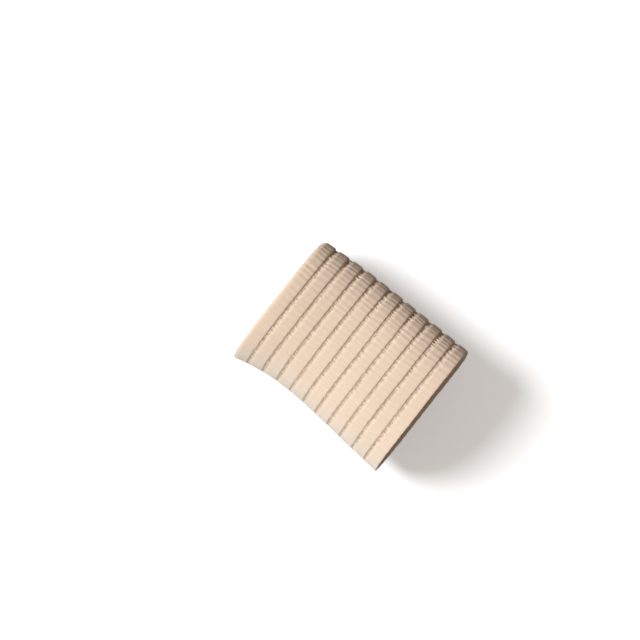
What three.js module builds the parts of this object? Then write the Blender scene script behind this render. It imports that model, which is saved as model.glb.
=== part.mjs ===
// A ribbed elastic wrist support: a cloth cuff of padded rib rings, side by side along its length,
// with a thin woven web at the bottom of each groove that joins a rib to the next one.
//
// Units are millimetres. X runs along the cuff, from its front end at -X to its higher rear end at +X.
// Y runs across the cuff. Z is up, and the underside rests flat on Z = 0.
import * as THREE from "three";

// Driving dimensions
const SLEEVE_LENGTH = 78;
const RIB_COUNT = 11;
const RIB_WIDTH = 6.4;
const RIB_THICKNESS = 2.5;
const LIP_LENGTH = 1.7; // how far the lip on the front of a rib slopes, along the rib's width
const LIP_DEPTH = 1.0;
const EDGE_ROUNDING = 0.7; // the tighter edge on the rear of a rib
const WIDEST_DROP = 1.2; // where a rib starts to narrow towards the inside, below the crown
const INNER_FLAT = 5.0; // flat stretch of a rib on the inside
const WEB_TOP_DROP = 1.75; // the floor of a groove, below the crown
const WEB_THICKNESS = 0.7;
const SEAM_GAP = 0.3; // clearance between a web and the ribs that it joins
const AROUND = 44; // facets round each ring, a multiple of 4 so that the widest points are vertices

// The cuff's outside outline at stations from the front end (0) to the rear end (1).
// plusY and minusY reach to either side of the axis, and height is from the resting plane to the top.
const OUTLINE_SECTIONS = [
  { station: 0.0, plusY: 30.8, minusY: 31.2, height: 46.0 },
  { station: 0.13, plusY: 31.6, minusY: 29.3, height: 45.4 },
  { station: 0.32, plusY: 32.3, minusY: 27.9, height: 45.0 },
  { station: 0.5, plusY: 32.2, minusY: 28.8, height: 46.0 },
  { station: 0.7, plusY: 31.9, minusY: 30.0, height: 47.9 },
  { station: 0.87, plusY: 31.7, minusY: 31.5, height: 49.6 },
  { station: 1.0, plusY: 31.5, minusY: 32.3, height: 51.0 },
];
const WIDEST_LEVEL = 0.48; // share of the height at which the outline is widest
const TOP_SQUARENESS = 2.55; // 2 is an ellipse, and more is squarer
const UNDERSIDE_SQUARENESS = 2.6;
const UNDERSIDE_FLATTENING = 1.2; // how far the underside would bulge below the plane that it rests on

const RIB_PITCH = (SLEEVE_LENGTH - RIB_WIDTH) / (RIB_COUNT - 1);
const FIRST_RIB_X = -(SLEEVE_LENGTH - RIB_WIDTH) / 2;
const TURNING_RADIUS = 30; // a ring is turned at this radius, then laid onto the outline

const RIB_COLOUR = new THREE.Color().setRGB(0.87, 0.78, 0.68, THREE.SRGBColorSpace);
const WEB_COLOUR = new THREE.Color().setRGB(0.66, 0.56, 0.46, THREE.SRGBColorSpace);

const outlineColumns = new THREE.CubicInterpolant(
  OUTLINE_SECTIONS.map((row) => (row.station - 0.5) * SLEEVE_LENGTH),
  OUTLINE_SECTIONS.flatMap((row) => [row.plusY, row.minusY, row.height]),
  3,
);

// The outside of the sleeve in the YZ plane at x. Angle 0 is at +Y and a quarter turn is at the top.
function outlinePoint(x, angle) {
  const [plusY, minusY, height] = outlineColumns.evaluate(x);
  const across = Math.cos(angle);
  const up = Math.sin(angle);
  const power = 2 / (up >= 0 ? TOP_SQUARENESS : UNDERSIDE_SQUARENESS);
  const widest = WIDEST_LEVEL * height;
  const reach = up >= 0 ? height - widest : widest + UNDERSIDE_FLATTENING;
  const y = Math.sign(across) * (across >= 0 ? plusY : minusY) * Math.abs(across) ** power;
  const z = widest + Math.sign(up) * reach * Math.abs(up) ** power;
  return new THREE.Vector2(y, Math.max(z, 0));
}

// The direction from the outline straight into the wall, at the same place.
function inwardDirection(x, angle) {
  const step = Math.PI / AROUND;
  const along = outlinePoint(x, angle + step).sub(outlinePoint(x, angle - step));
  return new THREE.Vector2(-along.y, along.x).normalize();
}

// Turns a closed section, given as { along, drop } corners, into a ring that follows the outline.
// along is measured from the ring's middle towards the rear, and drop from the crown inwards.
function ringGeometry(corners, middleX) {
  const closed = [...corners, corners[0]];
  const profile = closed.map(({ along, drop }) => new THREE.Vector2(TURNING_RADIUS - drop, along));
  const geometry = new THREE.LatheGeometry(profile, AROUND);
  const position = geometry.getAttribute("position");
  for (let i = 0; i < position.count; i += 1) {
    const angle = Math.atan2(position.getX(i), position.getZ(i));
    const drop = TURNING_RADIUS - Math.hypot(position.getX(i), position.getZ(i));
    const x = middleX + position.getY(i);
    const place = outlinePoint(x, angle).addScaledVector(inwardDirection(x, angle), drop);
    position.setXYZ(i, x, place.x, place.y);
  }
  geometry.computeVertexNormals();
  return geometry;
}

// Corners on one side of a section, mirrored to the other side, in order round the section.
function mirrored(corners) {
  const otherSide = corners.map(({ along, drop }) => ({ along: -along, drop })).reverse();
  return [...corners, ...otherSide];
}

// Points of a quarter ellipse from the crown down to a rib's full width, for one side of a rib.
function roundedEdge(length, depth, steps) {
  return Array.from({ length: steps + 1 }, (_, i) => {
    const turn = (i / steps) * (Math.PI / 2);
    const along = RIB_WIDTH / 2 - length * (1 - Math.sin(turn));
    return { along, drop: depth * (1 - Math.cos(turn)) };
  });
}

// A rib is a pillow: the lip on its front slopes further than the edge on its rear.
function ribSection() {
  const rearEdge = roundedEdge(EDGE_ROUNDING, EDGE_ROUNDING, 2);
  const frontLip = roundedEdge(LIP_LENGTH, LIP_DEPTH, 3).map(({ along, drop }) => ({ along: -along, drop }));
  const narrowing = mirrored([
    { along: RIB_WIDTH / 2, drop: WIDEST_DROP },
    { along: INNER_FLAT / 2, drop: RIB_THICKNESS },
  ]);
  return [...rearEdge, ...narrowing, ...frontLip.reverse()];
}

// A web fills the groove between the undercut sides of two ribs, clear of both.
function webSection() {
  const undercut = (RIB_WIDTH - INNER_FLAT) / 2;
  const underside = RIB_THICKNESS - WIDEST_DROP;
  const clearance = (SEAM_GAP * Math.hypot(undercut, underside)) / underside;
  const halfWidth = (drop) => {
    const ribHalf = RIB_WIDTH / 2 - (undercut * (drop - WIDEST_DROP)) / underside;
    return RIB_PITCH / 2 - ribHalf - clearance;
  };
  const bottomDrop = WEB_TOP_DROP + WEB_THICKNESS;
  return mirrored([
    { along: halfWidth(WEB_TOP_DROP), drop: WEB_TOP_DROP },
    { along: halfWidth(bottomDrop), drop: bottomDrop },
  ]);
}

function ring(name, corners, middleX, material) {
  const mesh = new THREE.Mesh(ringGeometry(corners, middleX), material);
  mesh.name = name;
  return mesh;
}

const numbered = (name, index) => `${name}_${String(index + 1).padStart(2, "0")}`;

const elastic = new THREE.MeshStandardMaterial({ color: RIB_COLOUR, roughness: 0.9, metalness: 0 });
const weave = new THREE.MeshStandardMaterial({ color: WEB_COLOUR, roughness: 0.95, metalness: 0 });

const wristSupport = new THREE.Group();
for (let i = 0; i < RIB_COUNT; i += 1) {
  const ribX = FIRST_RIB_X + i * RIB_PITCH;
  wristSupport.add(ring(numbered("rib", i), ribSection(), ribX, elastic));
  if (i < RIB_COUNT - 1) {
    const grooveX = ribX + RIB_PITCH / 2;
    wristSupport.add(ring(numbered("joining_web", i), webSection(), grooveX, weave));
  }
}

export default wristSupport;
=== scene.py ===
# %% [markdown]
# # A ribbed elastic wrist support
# This lesson dresses a wrist support: a short cloth cuff of padded ribs that run round it, with a narrow
# groove between each two ribs. The solids are already made, so they are loaded first as a fixed frame.
# Every new piece takes its place and its size from that frame, in metres. The cuff lies on its underside
# along the X axis, with its front end at -X and its higher rear end at +X. The picture is taken from
# above, with the near side at -Y and the far side at +Y.

# %% Load the frame
import math

import bmesh
import bpy
import numpy as np
from mathutils import Matrix, Vector


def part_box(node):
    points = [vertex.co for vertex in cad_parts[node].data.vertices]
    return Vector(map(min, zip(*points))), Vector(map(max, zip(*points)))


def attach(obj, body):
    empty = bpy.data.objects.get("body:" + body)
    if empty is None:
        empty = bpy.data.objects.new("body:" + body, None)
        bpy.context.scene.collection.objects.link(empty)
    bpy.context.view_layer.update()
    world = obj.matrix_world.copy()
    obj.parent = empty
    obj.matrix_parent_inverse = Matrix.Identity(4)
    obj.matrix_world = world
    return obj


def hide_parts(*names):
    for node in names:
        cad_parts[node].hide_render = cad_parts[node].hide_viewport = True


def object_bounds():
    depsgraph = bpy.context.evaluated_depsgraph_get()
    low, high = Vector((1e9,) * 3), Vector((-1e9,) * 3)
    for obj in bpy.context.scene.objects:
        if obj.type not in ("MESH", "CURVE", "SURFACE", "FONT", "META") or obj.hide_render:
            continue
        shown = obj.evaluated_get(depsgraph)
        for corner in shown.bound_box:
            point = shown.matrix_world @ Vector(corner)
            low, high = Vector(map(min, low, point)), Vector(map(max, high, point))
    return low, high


MM = 0.001
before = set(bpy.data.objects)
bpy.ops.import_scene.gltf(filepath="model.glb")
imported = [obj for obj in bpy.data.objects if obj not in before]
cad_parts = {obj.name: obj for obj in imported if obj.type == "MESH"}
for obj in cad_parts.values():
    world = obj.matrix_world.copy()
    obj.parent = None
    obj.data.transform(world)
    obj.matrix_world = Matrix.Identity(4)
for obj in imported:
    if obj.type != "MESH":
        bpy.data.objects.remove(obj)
cad_low, cad_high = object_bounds()
cuff_middle = (cad_low + cad_high) / 2
print("cuff size in mm:", [round(side / MM, 1) for side in cad_high - cad_low])

# %% [markdown]
# ## The camera
# The picture looks almost straight down on the cuff, whose length runs down to the right. A camera could
# be placed and turned by eye. Here its three directions are worked out instead: where the picture's right
# side, its top and its back point in the cuff's own frame. The cuff isn't in the middle of the picture, so
# the camera aims beside it, and needs no lens shift. It stands far off with a long lens, because the
# grooves near both ends bow by the same amount.

# %% Make the camera
PICTURE_PIXELS = 640
CUFF_PIXEL = (351.2, 353.9)
PIXEL = 0.426 * MM
CUFF_SLOPE = math.radians(38.4)
LEAN_TO_REAR = 0.05
LEAN_TO_NEAR_SIDE = 0.09
CAMERA_DISTANCE = 3.0


def add_camera():
    back = Vector((LEAN_TO_REAR, -LEAN_TO_NEAR_SIDE, 1)).normalized()
    level_right = Vector((math.cos(CUFF_SLOPE), math.sin(CUFF_SLOPE), 0))
    right = (level_right - level_right.dot(back) * back).normalized()
    up = back.cross(right)
    across_px = CUFF_PIXEL[0] - PICTURE_PIXELS / 2
    down_px = CUFF_PIXEL[1] - PICTURE_PIXELS / 2
    aim = cuff_middle - right * across_px * PIXEL + up * down_px * PIXEL
    data = bpy.data.cameras.new("wrist_view")
    data.lens = data.sensor_width * CAMERA_DISTANCE / (PICTURE_PIXELS * PIXEL)
    camera = bpy.data.objects.new("wrist_view", data)
    turn = Matrix((right, up, back)).transposed().to_4x4()
    camera.matrix_world = Matrix.Translation(aim + back * CAMERA_DISTANCE) @ turn
    bpy.context.scene.collection.objects.link(camera)
    bpy.context.scene.camera = camera
    return camera


print("camera lens in mm:", round(add_camera().data.lens, 1))

# %% [markdown]
# ## The cuff's outline
# Seen along its length, the cuff is an oval that is squarer than an ellipse and flat where it rests. It is
# narrowest at the waist and higher at the rear. The oval could be drawn as a curve at each rib. Here it is
# one formula for a squared ellipse, whose widths and height are smooth curves through the boxes of the
# solid ribs, so it is known at any place along the cuff. The floor softly cuts it off.

# %% Measure the ribs and fit the outline
RIB_NODES = sorted(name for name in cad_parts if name.startswith("rib_"))
WIDEST_LEVEL = 0.48
TOP_SQUARENESS = 2.55
UNDERSIDE_SQUARENESS = 2.6
UNDERSIDE_FLATTENING = 1.2 * MM
RESTING_SOFTNESS = 0.3 * MM
OUTLINE_DEGREE = 5

rib_boxes = [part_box(name) for name in RIB_NODES]
rib_middles = np.array([(low.x + high.x) / 2 for low, high in rib_boxes])
rib_width = rib_boxes[0][1].x - rib_boxes[0][0].x
rib_pitch = rib_middles[1] - rib_middles[0]
fit_curve = np.polynomial.Polynomial.fit
plus_side = fit_curve(rib_middles, [high.y for low, high in rib_boxes], OUTLINE_DEGREE)
minus_side = fit_curve(rib_middles, [-low.y for low, high in rib_boxes], OUTLINE_DEGREE)
cuff_height = fit_curve(rib_middles, [high.z for low, high in rib_boxes], OUTLINE_DEGREE)


def outline(x, angle):
    """The crown of the ribs in the YZ plane at x. Angle 0 is at +Y and a quarter turn is on top."""
    across, up = np.cos(angle), np.sin(angle)
    power = np.where(up >= 0, 2 / TOP_SQUARENESS, 2 / UNDERSIDE_SQUARENESS)
    widest = WIDEST_LEVEL * cuff_height(x)
    reach = np.where(up >= 0, cuff_height(x) - widest, widest + UNDERSIDE_FLATTENING)
    side = np.where(across >= 0, plus_side(x), minus_side(x))
    y = np.sign(across) * side * np.abs(across) ** power
    z = widest + np.sign(up) * reach * np.abs(up) ** power
    return y, (z + np.sqrt(z * z + RESTING_SOFTNESS ** 2)) / 2


print(len(RIB_NODES), "ribs, pitch in mm:", round(rib_pitch / MM, 2), "width:", round(rib_width / MM, 2))

# %% [markdown]
# ## Soft waves
# Knitted cloth is nearly even, but not quite. A noise texture could give it such slow changes, but wouldn't
# close round a ring. A few sine waves with seeded phases do close after one turn, so no seam shows. The
# first two waves let the grooves stray a little along the cuff. The stray depends only on the place, so
# the pieces that meet at a groove stray together.

# %% Make soft waves and let the grooves wander
SEED = 11
WAVE_SIZES = (0.5, 1.0)
WANDER = 0.1 * MM
WANDER_SKEW = 0.07
LONG_ORDERS = (2, 3, 5)
SHORT_ORDERS = (19, 27, 41)
SHORT_SHARE = 0.7
SHORT_SKEW = 3.1
rng = np.random.default_rng(SEED)


def soft_wave(orders):
    """A smooth wave round the ring, about -1 to 1, made of sines of these orders."""
    phases = rng.uniform(0, 2 * math.pi, len(orders))
    sizes = rng.uniform(*WAVE_SIZES, len(orders))
    sizes /= sizes.sum()
    return lambda share: sum(
        size * np.sin(2 * math.pi * order * share + phase)
        for order, phase, size in zip(orders, phases, sizes)
    )


long_wander = soft_wave(LONG_ORDERS)
short_wander = soft_wave(SHORT_ORDERS)


def wander(x, share):
    """How far the grooves stray along the cuff at this place."""
    shift = WANDER_SKEW * x / rib_pitch
    return WANDER * (long_wander(share + shift) + SHORT_SHARE * short_wander(share - SHORT_SKEW * shift))


shares_round = np.linspace(0, 1, 500)
print("most stray in the middle of the cuff in mm:", round(np.abs(wander(0.0, shares_round)).max() / MM, 2))

# %% [markdown]
# ## Laying a ring on the outline
# Every ring is made round first, because a spin is the tidy way to make a ring, and is then laid on the
# oval. A lattice could press it into shape too, but a formula puts each point exactly. A point of a ring
# is known by three numbers: its place along the cuff, its share of the way round, and its drop below the
# crown. Shares are counted by length, not by angle, so that what repeats round the ring is spaced evenly.
# They start on the underside, where a join would be out of sight.

# %% Map along, share and drop to a place on the outline
OUTLINE_STEPS = 2000
NORMAL_STEP = math.radians(3.5)
turns = np.linspace(-0.5 * math.pi, 1.5 * math.pi, OUTLINE_STEPS + 1)


def lengths_round(x):
    """Length along the outline at x, from the underside to each of the turns."""
    y, z = outline(x, turns)
    return np.concatenate(([0.0], np.hypot(np.diff(y), np.diff(z)).cumsum()))


def lay_on_outline(ring_x, along, share, drop):
    """Places of the points of a ring at ring_x, from their along, share and drop."""
    lengths = lengths_round(ring_x)
    angle = np.interp(share % 1, lengths / lengths[-1], turns)
    x = ring_x + along
    y, z = outline(x, angle)
    y_before, z_before = outline(x, angle - NORMAL_STEP)
    y_after, z_after = outline(x, angle + NORMAL_STEP)
    inward = np.stack((z_before - z_after, y_after - y_before), 1)
    inward /= np.linalg.norm(inward, axis=1)[:, None]
    y, z = y + inward[:, 0] * drop, z + inward[:, 1] * drop
    return np.stack((x + wander(x, share), y, np.maximum(z, 0)), 1)


girths = [lengths_round(x)[-1] for x in rib_middles]
print("girth in mm, front to rear:", round(girths[0] / MM), "to", round(girths[-1] / MM))

# %% [markdown]
# ## The rhythm of the cross yarns
# Bundles of yarn cross every rib from groove to groove and make fine ridges. On each rib they drift a
# little, some of the valleys between them are deeper than others, and some fade across the rib. They
# could be sculpted one by one. Here their numbers are drawn from the seeded source, so that every run
# makes the same cuff.

# %% Draw the numbers of the yarns
RIDGES = 64
DRIFT = 0.42
DRIFT_ORDERS = (2, 5, 9, 17)
SWELL_ORDERS = (3, 4, 8, 13)
PATCH_ORDERS = (11, 17, 26)
PLUMP_ORDERS = (1, 2, 4, 7)
VALLEY_DEPTHS = (-0.5, 1.0)
VALLEY_FADES = (-0.9, 0.9)
SLANTS = (-0.15, 0.2)
FIRST_RIB_SLANT = -0.2

drifts = [soft_wave(DRIFT_ORDERS) for name in RIB_NODES]
swells = [soft_wave(SWELL_ORDERS) for name in RIB_NODES]
patches = [soft_wave(PATCH_ORDERS) for name in RIB_NODES]
plumpness = [soft_wave(PLUMP_ORDERS) for name in RIB_NODES]
valley_depths = rng.uniform(*VALLEY_DEPTHS, (len(RIB_NODES), RIDGES))
valley_fades = rng.uniform(*VALLEY_FADES, (len(RIB_NODES), RIDGES))
slants = rng.uniform(*SLANTS, len(RIB_NODES))
slants[0] = FIRST_RIB_SLANT
print("ridges round each rib:", RIDGES, "about", round(np.mean(girths) / RIDGES / MM, 2), "mm apart")

# %% [markdown]
# ## A rib's section
# The section of a rib is a pillow: a rectangle with rounded corners. Its front lip slopes further than the
# other corners, and a bevel can only make an even corner. So each corner is bevelled while the section is
# squeezed along the cuff, and becomes a longer curve when the section is stretched again. A profile of 0.5
# is a true round. The lip gets a lower one, because cloth pulled over a lip lies flatter than that. Only
# the rim of the section is kept, because the face itself would be inside the cloth.

# %% Make a section with rounded corners
RING_RADIUS = 30 * MM
RIB_THICKNESS = 2.5 * MM
LIP_LENGTH = 1.7 * MM
LIP_DEPTH = 1.15 * MM
LIP_STEPS = 8
LIP_PROFILE = 0.37
REAR_EDGE = 0.75 * MM
REAR_STEPS = 5
INSIDE_EDGE = 0.8 * MM
INSIDE_STEPS = 4
ROUND = 0.5
RIB_CUTS = 7
RIB_CORNERS = {
    ("crown", "front"): (LIP_LENGTH, LIP_DEPTH, LIP_STEPS, LIP_PROFILE),
    ("crown", "rear"): (REAR_EDGE, REAR_EDGE, REAR_STEPS, ROUND),
    ("inside", "front"): (INSIDE_EDGE, INSIDE_EDGE, INSIDE_STEPS, ROUND),
    ("inside", "rear"): (INSIDE_EDGE, INSIDE_EDGE, INSIDE_STEPS, ROUND),
}


def section_rim(width, thickness, corners, long_cuts):
    """The rim of a rounded section, with its crown at RING_RADIUS above the X axis."""
    bm = bmesh.new()
    bmesh.ops.create_grid(bm, x_segments=1, y_segments=1, size=0.5)
    bmesh.ops.scale(bm, vec=(width, thickness, 1), verts=bm.verts)
    for vert in bm.verts[:]:
        level = "crown" if vert.co.y > 0 else "inside"
        side = "front" if vert.co.x < 0 else "rear"
        length, depth, steps, profile = corners[level, side]
        bmesh.ops.scale(bm, vec=(depth / length, 1, 1), verts=bm.verts)
        bmesh.ops.bevel(
            bm, geom=[vert], offset=depth, affect="VERTICES", segments=steps, profile=profile, material=-1
        )
        bmesh.ops.scale(bm, vec=(length / depth, 1, 1), verts=bm.verts)
    bmesh.ops.delete(bm, geom=bm.faces[:], context="FACES_ONLY")
    long_edges = [edge for edge in bm.edges if edge.calc_length() > width / 2]
    bmesh.ops.subdivide_edges(bm, edges=long_edges, cuts=long_cuts)
    bmesh.ops.rotate(bm, cent=(0, 0, 0), matrix=Matrix.Rotation(math.pi / 2, 3, "X"), verts=bm.verts)
    bmesh.ops.translate(bm, vec=(0, 0, RING_RADIUS - thickness / 2), verts=bm.verts)
    return bm


rib_section = section_rim(rib_width, RIB_THICKNESS, RIB_CORNERS, RIB_CUTS)
print("points in the section of a rib:", len(rib_section.verts))

# %% [markdown]
# ## A round ring
# The section is spun about the X axis. A screw modifier could do that too, but it would have to be applied
# before the points can be moved. The spin works on the mesh itself, and merges its last step with the
# first, so the ring is closed. It has several steps for each ridge, so that a ridge can have a real shape.

# %% Spin a section into a ring
RIB_STEPS_PER_RIDGE = 9
RIB_STEPS = RIDGES * RIB_STEPS_PER_RIDGE


def spun_ring(bm, name, steps):
    """A mesh of a section that is spun once round the X axis. The section is used up."""
    bmesh.ops.spin(
        bm, geom=bm.verts[:] + bm.edges[:], cent=(0, 0, 0), axis=(1, 0, 0),
        angle=2 * math.pi, steps=steps, use_merge=True,
    )
    bmesh.ops.recalc_face_normals(bm, faces=bm.faces)
    mesh = bpy.data.meshes.new(name)
    bm.to_mesh(mesh)
    bm.free()
    return mesh


round_rib = spun_ring(rib_section, "round_rib", RIB_STEPS)
print("round rib:", len(round_rib.vertices), "vertices,", len(round_rib.polygons), "faces")

# %% [markdown]
# ## Reading a ring's points
# A rib has tens of thousands of points. A loop could move them one by one, but that is slow, so the rest of
# the shaping is done on all points of a ring at once, as arrays. A point's angle gives its share of the
# way round, and its distance from the axis gives its drop. The normals are read too, so that the yarns
# can swell outwards on every side.

# %% Read the points of a round ring
def read_vectors(items, key):
    values = np.empty(len(items) * 3, np.float32)
    items.foreach_get(key, values)
    return values.reshape(-1, 3).astype(float)


def ring_numbers(points, steps):
    """Along, share and drop of the points of a round ring."""
    turn = np.arctan2(points[:, 2], points[:, 1]) / (2 * math.pi) + 0.25
    share = np.round(turn * steps) / steps % 1
    return points[:, 0], share, RING_RADIUS - np.hypot(points[:, 1], points[:, 2])


round_points = read_vectors(round_rib.vertices, "co")
round_normals = read_vectors(round_rib.vertices, "normal")
rib_along, rib_share, rib_drop = ring_numbers(round_points, RIB_STEPS)
print("drop of a rib's points in mm:", round(rib_drop.min() / MM, 2), "to", round(rib_drop.max() / MM, 2))

# %% [markdown]
# ## The yarn map
# The finish of the cloth has to follow its yarns, not the shape of the object. A UV map tells it where a
# place lies in the weave: one number for the yarns, and the place along the cuff in millimetres. It
# could be unwrapped, but the yarns are counted already. Round the ring the count runs on past its end in
# the faces that close the ring, so that no face holds the whole count squeezed together.

# %% Write the yarn map
YARN_MAP = "yarn_map"


def corner_vertices(mesh):
    vertex = np.empty(len(mesh.loops), np.int32)
    mesh.loops.foreach_get("vertex_index", vertex)
    return vertex


def corner_shares(mesh, share):
    """The share at each face corner, which runs on past 1 in the faces that close the ring."""
    start = np.empty(len(mesh.polygons), np.int32)
    mesh.polygons.foreach_get("loop_start", start)
    at = share[corner_vertices(mesh)]
    face = np.repeat(np.arange(len(start)), np.diff(np.append(start, len(at))))
    wraps = np.maximum.reduceat(at, start) - np.minimum.reduceat(at, start) > 0.5
    return at + (wraps[face] & (at < 0.5))


def set_yarn_map(mesh, numbers, along):
    pairs = np.stack((numbers, along / MM), 1)
    mesh.uv_layers.new(name=YARN_MAP).uv.foreach_set("vector", pairs.astype(np.float32).ravel())


rib_corner_along = rib_along[corner_vertices(round_rib)]
rib_corner_share = corner_shares(round_rib, rib_share)
print("corners of a rib:", len(rib_corner_share), "with shares up to", round(rib_corner_share.max(), 3))

# %% [markdown]
# ## Helpers for finishes
# A finish is a material whose nodes mix colours and heights. The nodes could be placed in the shader
# editor, one by one. In code a small class keeps it short: each helper adds a node, feeds its sockets and
# gives back what comes out of it. Nothing here is glossy, so one helper sets a matt surface.

# %% Helpers for any finish
MATT_SPECULAR = 0.2


class Finish:
    """A material with a short way to add nodes and join them."""

    def __init__(self, name):
        self.material = bpy.data.materials.new(name)
        self.material.use_nodes = True
        self.tree = self.material.node_tree
        self.shader = self.tree.nodes["Principled BSDF"]

    def add(self, kind, **values):
        made = self.tree.nodes.new(kind)
        for key, value in values.items():
            setattr(made, key, value)
        return made

    def feed(self, socket, value):
        if isinstance(value, bpy.types.NodeSocket):
            self.tree.links.new(value, socket)
        else:
            socket.default_value = value

    def math(self, operation, *values):
        made = self.add("ShaderNodeMath", operation=operation)
        for socket, value in zip(made.inputs, values):
            self.feed(socket, value)
        return made.outputs[0]

    def mix(self, factor, first, second):
        made = self.add("ShaderNodeMixRGB")
        for socket, value in zip(made.inputs, (factor, first, second)):
            self.feed(socket, value)
        return made.outputs["Color"]

    def ramp(self, value, low, high):
        made = self.add("ShaderNodeMapRange", interpolation_type="SMOOTHSTEP")
        for socket, setting in zip(made.inputs, (value, low, high)):
            self.feed(socket, setting)
        return made.outputs["Result"]

    def matt(self, colour, roughness, sheen):
        self.feed(self.shader.inputs["Base Color"], colour)
        self.shader.inputs["Roughness"].default_value = roughness
        self.shader.inputs["Sheen Weight"].default_value = sheen
        self.shader.inputs["Specular IOR Level"].default_value = MATT_SPECULAR


print("helpers for any finish:", [name for name in vars(Finish) if not name.startswith("_")])

# %% [markdown]
# ## Helpers for cloth
# Strands thinner than a ridge could be modelled, but they are too many and too fine for the mesh, so a
# bump stands for them. Noise is read in the object's own coordinates, which stay with the cloth, and the
# place in the weave is read from the yarn map.

# %% Helpers for a cloth finish
class ClothFinish(Finish):
    """A finish with the textures of cloth."""

    def noise(self, scale, detail, stretch=(1, 1, 1)):
        mapping = self.add("ShaderNodeMapping")
        mapping.inputs["Scale"].default_value = stretch
        self.feed(mapping.inputs["Vector"], self.add("ShaderNodeTexCoord").outputs["Object"])
        made = self.add("ShaderNodeTexNoise")
        made.inputs["Scale"].default_value = scale
        made.inputs["Detail"].default_value = detail
        self.feed(made.inputs["Vector"], mapping.outputs["Vector"])
        return made.outputs["Fac"]

    def yarn_place(self):
        split = self.add("ShaderNodeSeparateXYZ")
        self.feed(split.inputs["Vector"], self.add("ShaderNodeUVMap", uv_map=YARN_MAP).outputs["UV"])
        return split.outputs

    def bump(self, height, depth):
        made = self.add("ShaderNodeBump")
        made.inputs["Distance"].default_value = depth
        self.feed(made.inputs["Height"], height)
        self.feed(self.shader.inputs["Normal"], made.outputs["Normal"])


print("helpers for cloth:", [name for name in vars(ClothFinish) if not name.startswith("_")])

# %% [markdown]
# ## The colours of the ribs
# The yarn of the ribs is a warm beige, a little paler in places. Shade is painted darker into the valleys
# between ridges.
# A colour is easiest to choose as it looks on a screen, but shaders reckon with linear values. Those could
# be typed in directly, but would be hard to compare, so a helper turns one into the other.

# %% Choose the colours of the ribs
def linear(red, green, blue):
    """A colour as seen on a screen, 0 to 255, turned into the linear values that shaders use."""
    shares = [value / 255 for value in (red, green, blue)]
    bright = [s / 12.92 if s <= 0.04045 else ((s + 0.055) / 1.055) ** 2.4 for s in shares]
    return (*bright, 1.0)


RIB_COLOUR = linear(219, 196, 174)
RIB_PALE = linear(227, 205, 184)
# The dark colour serves the random speckles, and the painted shade in the valleys and between strands.
SPECKLE_AND_PAINTED_SHADE_COLOUR = linear(200, 174, 150)
print("linear colour of the ribs:", [round(part, 3) for part in RIB_COLOUR])

# %% [markdown]
# ## The finish of the ribs
# The ribs are covered with matt yarn, with a faint sheen from the fibres that stand off it. Seen close,
# each ridge is a bundle of fine strands that run across the rib. Shade is painted darker into the valley
# between two ridges and between the strands. A picture of cloth could be laid on, but it would repeat and
# stretch. Sines of the ridge number draw the strands and the valleys instead, and soft noise keeps the
# beige from being flat.

# %% The ribbed elastic
STRANDS_PER_RIDGE = 6
STRAND_STRAY = 5.0
STRAND_STRETCH = (0.25, 1, 1)
PAINTED_STRAND_SHADE = 0.09
STRAND_DEPTH = 0.02 * MM
VALLEY_SHARPNESS = 3.0
PAINTED_VALLEY_SHADE = 0.2
TONE_SCALE = 70
SPECKLE_SCALE = 900
SPECKLE_RANGE = (0.55, 0.75)
SPECKLE_SHADE = 0.25
FUZZ_SCALE = 5200
FUZZ_SHARE = 1.6


def ribbed_elastic():
    finish = ClothFinish("ribbed_elastic")
    number = finish.yarn_place()["X"]
    ridge = finish.math("SINE", finish.math("MULTIPLY", finish.math("FRACT", number), math.pi))
    valley = finish.math("POWER", finish.math("SUBTRACT", 1.0, ridge), VALLEY_SHARPNESS)
    uneven = finish.noise(SPECKLE_SCALE, detail=3.0, stretch=STRAND_STRETCH)
    stray = finish.math("MULTIPLY", uneven, STRAND_STRAY)
    strand_turn = finish.math("MULTIPLY", number, 2 * math.pi * STRANDS_PER_RIDGE)
    strand = finish.math("SINE", finish.math("ADD", strand_turn, stray))
    colour = finish.mix(finish.noise(TONE_SCALE, detail=3.0), RIB_COLOUR, RIB_PALE)
    speckle = finish.ramp(finish.noise(SPECKLE_SCALE, detail=3.0), *SPECKLE_RANGE)
    colour = finish.mix(finish.math("MULTIPLY", speckle, SPECKLE_SHADE), colour, SPECKLE_AND_PAINTED_SHADE_COLOUR)
    # Painted shade: the valleys between ridges are mixed towards the dark colour.
    colour = finish.mix(finish.math("MULTIPLY", valley, PAINTED_VALLEY_SHADE), colour, SPECKLE_AND_PAINTED_SHADE_COLOUR)
    # Painted shade: the gaps between the fine strands are mixed towards the dark colour.
    painted_shade_between_strands = finish.math("MULTIPLY", finish.math("SUBTRACT", 1.0, strand), PAINTED_STRAND_SHADE)
    colour = finish.mix(painted_shade_between_strands, colour, SPECKLE_AND_PAINTED_SHADE_COLOUR)
    finish.matt(colour, roughness=0.88, sheen=0.15)
    fuzz = finish.math("MULTIPLY", finish.noise(FUZZ_SCALE, detail=2.0), FUZZ_SHARE)
    finish.bump(finish.math("ADD", strand, fuzz), STRAND_DEPTH)
    return finish.material


rib_finish = ribbed_elastic()
print("finish:", rib_finish.name, "with", len(rib_finish.node_tree.nodes), "nodes")

# %% [markdown]
# ## The depth of the grooves
# Where the cloth is pulled tight, on the near side and on top, the grooves are shallow. At the far side
# they are deep. Sections of several depths could be joined into a ring, but it is simpler to keep one and
# make each drop below the crown larger or smaller by a factor that changes round the ring. The factor
# fades out towards the inside, where the wall stays as it is.

# %% Set the depth of the grooves
FAR_SIDE_SHARE = 0.27
NEAR_SIDE_RELIEF = 0.32
TOP_RELIEF = 0.35
TOP_FALLOFF = 1.6
FAR_EDGE_RELIEF = 0.87
FAR_EDGE_FALLOFF = 12
CROWN_EASE = 0.5


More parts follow.
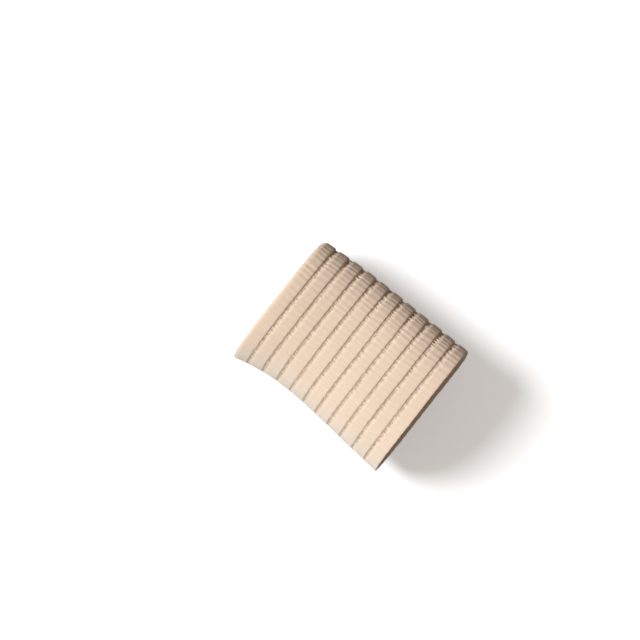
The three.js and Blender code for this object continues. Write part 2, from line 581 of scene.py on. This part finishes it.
def far_side(share):
    """1 at the far side of the ring and 0 at the near side."""
    return 0.5 + 0.5 * np.cos(2 * math.pi * (share - FAR_SIDE_SHARE))


def relief(share):
    """How deep the grooves are, as a factor of the section's depth."""
    top = TOP_RELIEF * far_side(share) ** TOP_FALLOFF
    return NEAR_SIDE_RELIEF + top + FAR_EDGE_RELIEF * far_side(share) ** FAR_EDGE_FALLOFF


def eased_drop(drop, share):
    """A drop changed by the relief near the crown, and kept as it is on the inside."""
    depth = np.clip(drop / RIB_THICKNESS, 0, 1)
    return drop * (1 - (1 - relief(share)) * (1 - depth) ** CROWN_EASE)


print("depth of the grooves at the far side, as a factor:", round(relief(FAR_SIDE_SHARE), 2))
print("depth of the grooves at the near side, as a factor:", round(relief(FAR_SIDE_SHARE + 0.5), 2))

# %% [markdown]
# ## Where the ridges are strong
# The ridges are strong at the far side and fade where the cloth is pulled tight, most of all on the first
# rib. They are strongest where a rib faces a groove, and weaker at the cuff's two free edges. Weights could
# be painted on for this. Here the side and the normal of a point give its strength, and two soft waves
# make it a little uneven.

# %% Set the strength of the ridges
RIDGED_FALLOFF = 4
SMOOTHEST = 0.21
FRONT_SMOOTHEST = (0.6, 0.3, 0.3, 0.25)
LIP_SWELL = 0.45
FREE_EDGE_SHARE = 0.2
SWELL_CHANGE = 0.25
PATCH_CHANGE = 0.3
PATCH_SKEW = 0.035
smoothest = np.full(len(RIB_NODES), SMOOTHEST)
smoothest[:len(FRONT_SMOOTHEST)] = FRONT_SMOOTHEST


def groove_facing(index):
    """How much each point faces a groove. The free edges at both ends of the cuff lie smoother."""
    facing = round_normals[:, 0] ** 2
    front_end = (index == 0) & (round_normals[:, 0] < 0)
    rear_end = (index == len(RIB_NODES) - 1) & (round_normals[:, 0] > 0)
    return facing * np.where(front_end | rear_end, FREE_EDGE_SHARE, 1)


def ridge_strength(index):
    """How strong the ridges are at each point of a rib."""
    ridged = far_side(rib_share) ** RIDGED_FALLOFF
    ridged = smoothest[index] + (1 - smoothest[index]) * ridged
    ridged += (1 + LIP_SWELL - ridged) * groove_facing(index)
    patch = patches[index](rib_share + PATCH_SKEW * rib_along / rib_width)
    return ridged * (1 + SWELL_CHANGE * swells[index](rib_share) + PATCH_CHANGE * patch)


strengths = ridge_strength(0)
print("strength of the first rib's ridges:", round(strengths.min(), 2), "to", round(strengths.max(), 2))

# %% [markdown]
# ## The ridges
# The points of a rib swell along their normals where a bundle of yarn crosses, and sink in the valleys. A
# bump could show this too, but the light only grazes the far side, and there the ridges need a real shape.
# On the inside, which is out of sight, they are half as high.

# %% Raise the ridges
RIDGE_HEIGHT = 0.185 * MM
BUNDLE_SHARPNESS = 1.3
BUNDLE_RISE = 0.8
VALLEY_WIDTH = 0.23
VALLEY_FALL = 0.45
ALL_FALL = 0.3
INSIDE_SWELL = 0.5


def ridge_number(index, share, along):
    """Counts the ridges round a rib. A whole number is the valley between two of them."""
    return RIDGES * share + DRIFT * drifts[index](share) + slants[index] * along / rib_width


def ridge_swell(index):
    """How far the yarns lift each point of a rib."""
    number = ridge_number(index, rib_share, rib_along)
    nearest = np.round(number)
    count = nearest.astype(int) % RIDGES
    bundle = (0.5 - 0.5 * np.cos(2 * math.pi * number)) ** BUNDLE_SHARPNESS
    valley = np.exp(-((number - nearest) / VALLEY_WIDTH) ** 2) * valley_depths[index][count]
    valley *= 1 + valley_fades[index][count] * 2 * rib_along / rib_width
    facing_out = 1 - (1 - INSIDE_SWELL) * np.clip(rib_drop / RIB_THICKNESS, 0, 1)
    height = BUNDLE_RISE * bundle - VALLEY_FALL * valley - ALL_FALL
    return RIDGE_HEIGHT * ridge_strength(index) * facing_out * height


swelling = ridge_swell(0) / MM
print("swelling of the first rib in mm:", round(swelling.min(), 2), "to", round(swelling.max(), 2))

# %% [markdown]
# ## The form of a rib
# A rib is soft, so its crown bows like a pillow and is a little plumper in some places. A cloth simulation
# could puff it up, but a rib is only a few millimetres wide: the remesh that goes with it would erase the
# ridges and the lip. So the points are moved directly, and the ring is then laid on the cuff's oval.

# %% Shape a rib
CROWN_BOW = 0.15 * MM
BOW_POWER = 4
PLUMP = 0.06 * MM


def shaped_rib(index):
    """Points of a rib, swollen by its ridges and laid on the outline."""
    out = round_normals * ridge_swell(index)[:, None]
    radius = np.hypot(round_points[:, 1], round_points[:, 2])
    rise = (out[:, 1] * round_points[:, 1] + out[:, 2] * round_points[:, 2]) / radius
    bow = CROWN_BOW * (2 * rib_along / rib_width) ** BOW_POWER * (1 - rib_drop / RIB_THICKNESS)
    drop = eased_drop(rib_drop + bow, rib_share) - rise - PLUMP * plumpness[index](rib_share)
    return lay_on_outline(rib_middles[index], rib_along + out[:, 0], rib_share, drop)


print("top of the first rib in mm:", round(shaped_rib(0)[:, 2].max() / MM, 2))

# %% [markdown]
# ## The eleven ribs
# Each rib is a copy of the round ring with its own points. An array modifier could repeat one rib, but no
# two ribs have the same ridges, and their girths differ. A rib stands for the solid of its node, and rides
# on the frame's one body.


def write_points(mesh, points):
    mesh.vertices.foreach_set("co", points.astype(np.float32).ravel())
    mesh.update()


def add_piece(mesh, node):
    mesh.shade_smooth()
    piece = bpy.data.objects.new(mesh.name, mesh)
    bpy.context.scene.collection.objects.link(piece)
    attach(piece, "root")
    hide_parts(node)
    return piece


def add_rib(index, node):
    mesh = round_rib.copy()
    mesh.name = "padded_" + node
    write_points(mesh, shaped_rib(index))
    set_yarn_map(mesh, ridge_number(index, rib_corner_share, rib_corner_along), rib_corner_along)
    mesh.materials.append(rib_finish)
    piece = add_piece(mesh, node)
    return piece


ribs = [add_rib(index, node) for index, node in enumerate(RIB_NODES)]
print("ribs:", len(ribs), "with", len(ribs[0].data.polygons), "faces each")

# %% [markdown]
# ## The web of a groove
# At the bottom of a groove a thin woven web joins two ribs. It could be a flat strip, but a band with some
# thickness reaches into both ribs, so that no light shows past its edges. It is another spun ring, with
# a smaller section. It needs fewer steps than a rib, because it has no ridges.

# %% Spin the web
WEB_TOP_DROP = 0.95 * MM
WEB_THICKNESS = 1.3 * MM
WEB_WIDTH = 1.7 * MM
WEB_EDGE = 0.25 * MM
WEB_EDGE_STEPS = 2
WEB_CUTS = 1
WEB_STEPS_PER_RIDGE = 4
WEB_STEPS = RIDGES * WEB_STEPS_PER_RIDGE
WEB_CORNERS = {key: (WEB_EDGE, WEB_EDGE, WEB_EDGE_STEPS, ROUND) for key in RIB_CORNERS}

web_section = section_rim(WEB_WIDTH, WEB_THICKNESS, WEB_CORNERS, WEB_CUTS)
round_web = spun_ring(web_section, "round_web", WEB_STEPS)
web_along, web_share, web_drop = ring_numbers(read_vectors(round_web.vertices, "co"), WEB_STEPS)
web_corner_along = web_along[corner_vertices(round_web)]
web_corner_share = corner_shares(round_web, web_share)
print("round web:", len(round_web.polygons), "faces")

# %% [markdown]
# ## The yarns of a groove
# The cross yarns show in the grooves: each leaves one rib, crosses the web and climbs onto the lip of the
# next rib. They could be curves with a bevel. As there are almost two hundred in each groove, one yarn is
# a thin cylinder with a few cuts, and it is copied along a straight strip, which is bent later.

# %% Make a strip of yarns
YARNS_PER_RIDGE = 3
YARNS = RIDGES * YARNS_PER_RIDGE
YARN_RADIUS = 0.24 * MM
YARN_REACH = 0.95 * MM
YARN_SIDES = 6
YARN_CUTS = 7
YARN_SPACING = np.mean(girths) / YARNS


def yarn_strip():
    """Straight yarns along X, one beside the other along Y."""
    bm = bmesh.new()
    bmesh.ops.create_cone(
        bm, cap_ends=True, segments=YARN_SIDES,
        radius1=YARN_RADIUS, radius2=YARN_RADIUS, depth=2 * YARN_REACH,
    )
    long_edges = [edge for edge in bm.edges if edge.calc_length() > YARN_REACH]
    bmesh.ops.subdivide_edges(bm, edges=long_edges, cuts=YARN_CUTS)
    bmesh.ops.rotate(bm, cent=(0, 0, 0), matrix=Matrix.Rotation(math.pi / 2, 3, "Y"), verts=bm.verts)
    one_yarn = bm.verts[:] + bm.edges[:] + bm.faces[:]
    for count in range(1, YARNS):
        copied = bmesh.ops.duplicate(bm, geom=one_yarn)["geom"]
        verts = [item for item in copied if isinstance(item, bmesh.types.BMVert)]
        bmesh.ops.translate(bm, vec=(0, count * YARN_SPACING, 0), verts=verts)
    bmesh.ops.recalc_face_normals(bm, faces=bm.faces)
    mesh = bpy.data.meshes.new("lip_yarns")
    bm.to_mesh(mesh)
    bm.free()
    return mesh


straight_yarns = yarn_strip()
print("one groove has", YARNS, "yarns,", len(straight_yarns.polygons), "faces")

# %% [markdown]
# ## The finish of the webs and the yarns
# The web is the same yarn, but woven tight, with soft patches of painted shade. Its threads could be
# modelled, but they are too fine to be seen one by one, so two sines of the yarn map cross each other as
# the weave does.
# The yarns over it are painted tan, as shade, where they leave the web down in the groove, and pale where
# they lie on the lip. The bold ones are painted palest, as a highlight.

# %% The groove weave and the lip yarns
WEAVE_COLOUR = linear(222, 201, 180)
WEAVE_PATCH_SHADE = linear(188, 163, 141)
WEFT_SPACING = 0.5
WEAVE_SHADE = 0.2
WEAVE_DEPTH = 0.05 * MM
SHADE_PATCH_SCALE = 750
SHADE_PATCH_RANGE = (0.38, 0.58)
PALE_YARN_AND_HIGHLIGHT = linear(243, 226, 208)
YARN_TAN_AND_GROOVE_SHADE = linear(200, 176, 154)
GROOVE_SHADE_FADE = (0.3, 0.9)
FIBRE_SCALE = 6000
FIBRE_DEPTH = 0.03 * MM


def groove_weave():
    finish = ClothFinish("groove_weave")
    place = finish.yarn_place()
    warp = finish.math("SINE", finish.math("MULTIPLY", place["X"], 2 * math.pi * STRANDS_PER_RIDGE))
    weft = finish.math("SINE", finish.math("MULTIPLY", place["Y"], 2 * math.pi / WEFT_SPACING))
    weave = finish.math("MULTIPLY", warp, weft)
    # Painted shade: soft patches darken the web, so that the groove looks dashed.
    patch = finish.ramp(finish.noise(SHADE_PATCH_SCALE, detail=1.0), *SHADE_PATCH_RANGE)
    shade = finish.math("ADD", patch, finish.math("MULTIPLY", weave, WEAVE_SHADE))
    finish.matt(finish.mix(shade, WEAVE_PATCH_SHADE, WEAVE_COLOUR), roughness=0.95, sheen=0.0)
    finish.bump(weave, WEAVE_DEPTH)
    return finish.material


def lip_yarn():
    finish = ClothFinish("lip_yarn")
    place = finish.yarn_place()
    # Painted shade: a yarn is tan down in the groove and turns pale along the lip. A bold yarn turns
    # palest.
    pale = finish.math("MULTIPLY", finish.ramp(place["Y"], *GROOVE_SHADE_FADE), place["X"])
    finish.matt(finish.mix(pale, YARN_TAN_AND_GROOVE_SHADE, PALE_YARN_AND_HIGHLIGHT), roughness=0.8, sheen=0.1)
    finish.bump(finish.noise(FIBRE_SCALE, detail=2.0), FIBRE_DEPTH)
    return finish.material


weave_finish = groove_weave()
yarn_finish = lip_yarn()
print("finishes:", weave_finish.name, yarn_finish.name)

# %% [markdown]
# ## The curve under a yarn
# A yarn lies on the web and then on the rounded lip of its rib. A shrinkwrap could press it onto the mesh,
# but the lip's curve is known. A bevel follows a superellipse, whose power is worked out from the bevel's
# profile, so one formula gives the drop at any place along the yarn.

# %% Find the drop of the lip
LIP_POWER = math.log(0.5) / math.log(math.sqrt(LIP_PROFILE))
half_gap = (rib_pitch - rib_width) / 2


def lip_drop(along):
    """Drop of the surface beside a groove: the web, then the rounded lip of the rib past it."""
    into_rib = np.clip(along - half_gap, 0, LIP_LENGTH)
    to_crown = 1 - into_rib / LIP_LENGTH
    rounding = LIP_DEPTH * (1 - (1 - to_crown ** LIP_POWER) ** (1 / LIP_POWER))
    bow = CROWN_BOW * (1 - 2 * into_rib / rib_width) ** BOW_POWER
    return np.minimum(rounding + bow, WEB_TOP_DROP)


print("power of the lip's curve:", round(LIP_POWER, 2))
print("drop half way along the lip in mm:", round(lip_drop(half_gap + LIP_LENGTH / 2) / MM, 2))

# %% [markdown]
# ## Bold and faint yarns
# The yarns catch the light as small pale beads along the lip, some more than others. All yarns could be
# alike, but the lip would then look machined. So a seeded number says how bold each yarn is, and most of
# the bold ones are on the crest of a ridge.

# %% Choose the bold yarns
CREST_BOLDNESS = (0.35, 1.0)
OTHER_BOLDNESS_POWER = 3
on_crest = np.arange(YARNS) % YARNS_PER_RIDGE == YARNS_PER_RIDGE // 2


def yarn_boldness():
    """How much each yarn of a groove stands out, 0 to 1."""
    crest = rng.uniform(*CREST_BOLDNESS, YARNS)
    other = rng.uniform(0, 1, YARNS) ** OTHER_BOLDNESS_POWER
    return np.where(on_crest, crest, other)


print("yarns on the crest of a ridge:", on_crest.sum(), "of", YARNS)

# %% [markdown]
# ## Laying the yarns
# A bold yarn is thick, and bridges the groove higher up. A faint one is thin and low. Both ends of a yarn
# sink out of sight. A curve modifier could bend the strip round the cuff, but the yarns also have to follow
# the ridges of the rib that they climb onto, so they are laid by the same three numbers as a ring.

# %% Lay the yarns on a lip
YARN_START = -0.45 * MM
YARN_LIFT = 0.1 * MM
LIFT_SPREAD = 0.05 * MM
STRAY_SPREAD = 0.3
YARN_SINK = 0.4 * MM
YARN_TAPER = 0.5
BOLD_YARN_SIZE = 1.5
FAINT_YARN_SIZE = 0.65
FAINT_YARN_DROP = 0.12 * MM
BRIDGE_RISE = 0.45 * MM
yarn_points = read_vectors(straight_yarns.vertices, "co")
yarn_along = yarn_points[:, 0] + YARN_REACH + YARN_START
yarn_count = np.round(yarn_points[:, 1] / YARN_SPACING).astype(int)


def laid_yarns(index, ring_x, bold):
    """Points of a groove's yarns. The yarns follow the drift of the rib that they climb onto."""
    to_end = (yarn_points[:, 0] / YARN_REACH) ** 2
    size = (FAINT_YARN_SIZE + (BOLD_YARN_SIZE - FAINT_YARN_SIZE) * bold) * (1 - YARN_TAPER * to_end)
    lift = YARN_LIFT - FAINT_YARN_DROP * (1 - bold) + rng.normal(0, LIFT_SPREAD, YARNS)[yarn_count]
    stray = rng.normal(0, STRAY_SPREAD, YARNS)[yarn_count]
    share = (yarn_count + 0.5 + stray) / YARNS
    beside = size * (yarn_points[:, 1] - yarn_count * YARN_SPACING) / lengths_round(ring_x)[-1]
    bridge_drop = np.minimum(lip_drop(yarn_along), WEB_TOP_DROP - BRIDGE_RISE * bold)
    drop = eased_drop(bridge_drop, share) - lift + YARN_SINK * to_end ** 2 - size * yarn_points[:, 2]
    drifted = share - DRIFT * drifts[index + 1](share) / RIDGES
    return lay_on_outline(ring_x, yarn_along, drifted + beside, drop)


print("a yarn reaches", round((yarn_along.max() - half_gap) / MM, 2), "mm onto a rib")

# %% [markdown]
# ## The ten grooves
# The band of a web and its yarns are laid on the outline in the same way as the ribs, half a pitch
# further on. They could stay two objects, but on the real cuff they are one cloth, so they are joined into
# one mesh with two finishes.

# %% Add the webs
WEB_NODES = sorted(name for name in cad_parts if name.startswith("joining_web_"))
FAINT_YARN_PALE_AND_HIGHLIGHT = 0.2
yarn_corners = corner_vertices(straight_yarns)


def joined(name, band, yarns):
    """One mesh of a band and its yarns. The faces of the yarns have the second finish."""
    bm = bmesh.new()
    bm.from_mesh(band)
    band_faces = len(bm.faces)
    bm.from_mesh(yarns)
    bm.faces.ensure_lookup_table()
    for face in bm.faces[band_faces:]:
        face.material_index = 1
    mesh = bpy.data.meshes.new(name)
    bm.to_mesh(mesh)
    bm.free()
    return mesh


def add_web(index, node):
    ring_x = (rib_middles[index] + rib_middles[index + 1]) / 2
    band = round_web.copy()
    yarns = straight_yarns.copy()
    band_drop = eased_drop(WEB_TOP_DROP + web_drop, web_share)
    write_points(band, lay_on_outline(ring_x, web_along, web_share, band_drop))
    set_yarn_map(band, RIDGES * web_corner_share, web_corner_along)
    bold = yarn_boldness()[yarn_count]
    write_points(yarns, laid_yarns(index, ring_x, bold))
    # Painted highlight: bold yarns are painted paler than faint ones.
    pale_and_highlight_share = FAINT_YARN_PALE_AND_HIGHLIGHT + (1 - FAINT_YARN_PALE_AND_HIGHLIGHT) * bold
    set_yarn_map(yarns, pale_and_highlight_share[yarn_corners], yarn_along[yarn_corners])
    mesh = joined("woven_" + node, band, yarns)
    mesh.materials.append(weave_finish)
    mesh.materials.append(yarn_finish)
    return add_piece(mesh, node)


webs = [add_web(index, node) for index, node in enumerate(WEB_NODES)]
print("webs:", len(webs), "with", len(webs[0].data.polygons), "faces each")

# %% [markdown]
# ## The floor
# The floor is plain and nearly white. A white floor throws light up into the shaded side of what lies on
# it, which would make the far side too bright here. So it is left out of diffuse bounces, and it glows a
# little like a light table, which keeps the shadow pale. It lies a hair below the cuff.

# %% Make the floor
FLOOR_SIZE = 12.0
FLOOR_GAP = 0.05 * MM
FLOOR_COLOUR = (0.9, 0.9, 0.9, 1.0)
GLOW_COLOUR = (1.0, 1.0, 1.0, 1.0)
GLOW_STRENGTH = 0.35


def add_floor():
    bm = bmesh.new()
    bmesh.ops.create_grid(bm, x_segments=1, y_segments=1, size=FLOOR_SIZE / 2)
    bmesh.ops.translate(bm, vec=(0, 0, -FLOOR_GAP), verts=bm.verts)
    mesh = bpy.data.meshes.new("floor")
    bm.to_mesh(mesh)
    bm.free()
    finish = Finish("pale_floor")
    finish.matt(FLOOR_COLOUR, roughness=0.9, sheen=0.0)
    finish.shader.inputs["Emission Color"].default_value = GLOW_COLOUR
    finish.shader.inputs["Emission Strength"].default_value = GLOW_STRENGTH
    mesh.materials.append(finish.material)
    floor = bpy.data.objects.new("floor", mesh)
    floor.visible_diffuse = False
    bpy.context.scene.collection.objects.link(floor)
    return floor


print("floor:", add_floor().name)

# %% [markdown]
# ## The lamp
# One large soft lamp stands high at the front, so the lips that face it are bright, the far side falls into
# shade, and the ridges show where the light only grazes them. A sun lamp could light the cuff too, but its
# shadow would be hard. The lamp is far off, so that the floor is lit evenly.

# %% Add the lamp
LAMP_DIRECTION = (-0.85, -0.42, 1.0)
LAMP_DISTANCE = 3.0
LAMP_SIZE = 1.5
LAMP_POWER = 114.0
LAMP_COLOUR = (0.94, 0.97, 1.0)


def add_lamp():
    data = bpy.data.lights.new("front_lamp", "AREA")
    data.shape = "DISK"
    data.size = LAMP_SIZE
    data.energy = LAMP_POWER
    data.color = LAMP_COLOUR
    lamp = bpy.data.objects.new("front_lamp", data)
    towards = Vector(LAMP_DIRECTION).normalized()
    lamp.location = cuff_middle + towards * LAMP_DISTANCE
    lamp.rotation_euler = towards.to_track_quat("Z", "Y").to_euler()
    bpy.context.scene.collection.objects.link(lamp)
    return lamp


print("height of the lamp in metres:", round(add_lamp().location.z, 2))

# %% [markdown]
# ## The card
# In a studio a white card on the table would throw some light back under the near edge. A white plane could
# do that here, but how bright it is would depend on the lamp. So the card is a dim lamp of its own, which
# lies on the floor, faces up and isn't seen by the camera.

# %% Add the card
CARD_SIDES = (0.3, 0.1)
CARD_GAP = 0.028
CARD_LEVEL = 1 * MM
CARD_POWER = 0.23
CARD_COLOUR = (0.69, 0.9, 1.0)


def add_card():
    data = bpy.data.lights.new("white_card", "AREA")
    data.shape = "RECTANGLE"
    data.size, data.size_y = CARD_SIDES
    data.energy = CARD_POWER
    data.color = CARD_COLOUR
    card = bpy.data.objects.new("white_card", data)
    card.location = (cuff_middle.x, cad_low.y - CARD_GAP - CARD_SIDES[1] / 2, CARD_LEVEL)
    card.rotation_euler = (math.pi, 0, 0)
    card.visible_camera = False
    bpy.context.scene.collection.objects.link(card)
    return card


print("middle of the card in mm across the cuff:", round(add_card().location.y / MM))

# %% [markdown]
# ## The sky
# A dim warm sky fills the shade. An even sky would light the underside as much as the top, so the
# direction's height sets its strength: it is dimmer below the horizon. The view transform is the plain
# one, so that the beige comes out as it was chosen.

# %% Add the sky
SKY_COLOUR = (1.0, 0.87, 0.755, 1.0)
SKY_STRENGTH = 0.29
SKY_BELOW = 0.036
HORIZON = 0.2


def add_sky():
    sky = bpy.data.worlds.new("studio")
    sky.use_nodes = True
    tree = sky.node_tree
    background = tree.nodes["Background"]
    background.inputs["Color"].default_value = SKY_COLOUR
    direction = tree.nodes.new("ShaderNodeTexCoord")
    split = tree.nodes.new("ShaderNodeSeparateXYZ")
    level = tree.nodes.new("ShaderNodeMapRange")
    levels = {"From Min": -HORIZON, "From Max": HORIZON, "To Min": SKY_BELOW, "To Max": SKY_STRENGTH}
    for socket, value in levels.items():
        level.inputs[socket].default_value = value
    tree.links.new(direction.outputs["Generated"], split.inputs["Vector"])
    tree.links.new(split.outputs["Z"], level.inputs["Value"])
    tree.links.new(level.outputs["Result"], background.inputs["Strength"])
    return sky


bpy.context.scene.world = add_sky()
bpy.context.scene.view_settings.view_transform = "Standard"
print("a sky of strength", SKY_STRENGTH, "and", SKY_BELOW, "below the horizon")

# %% [markdown]
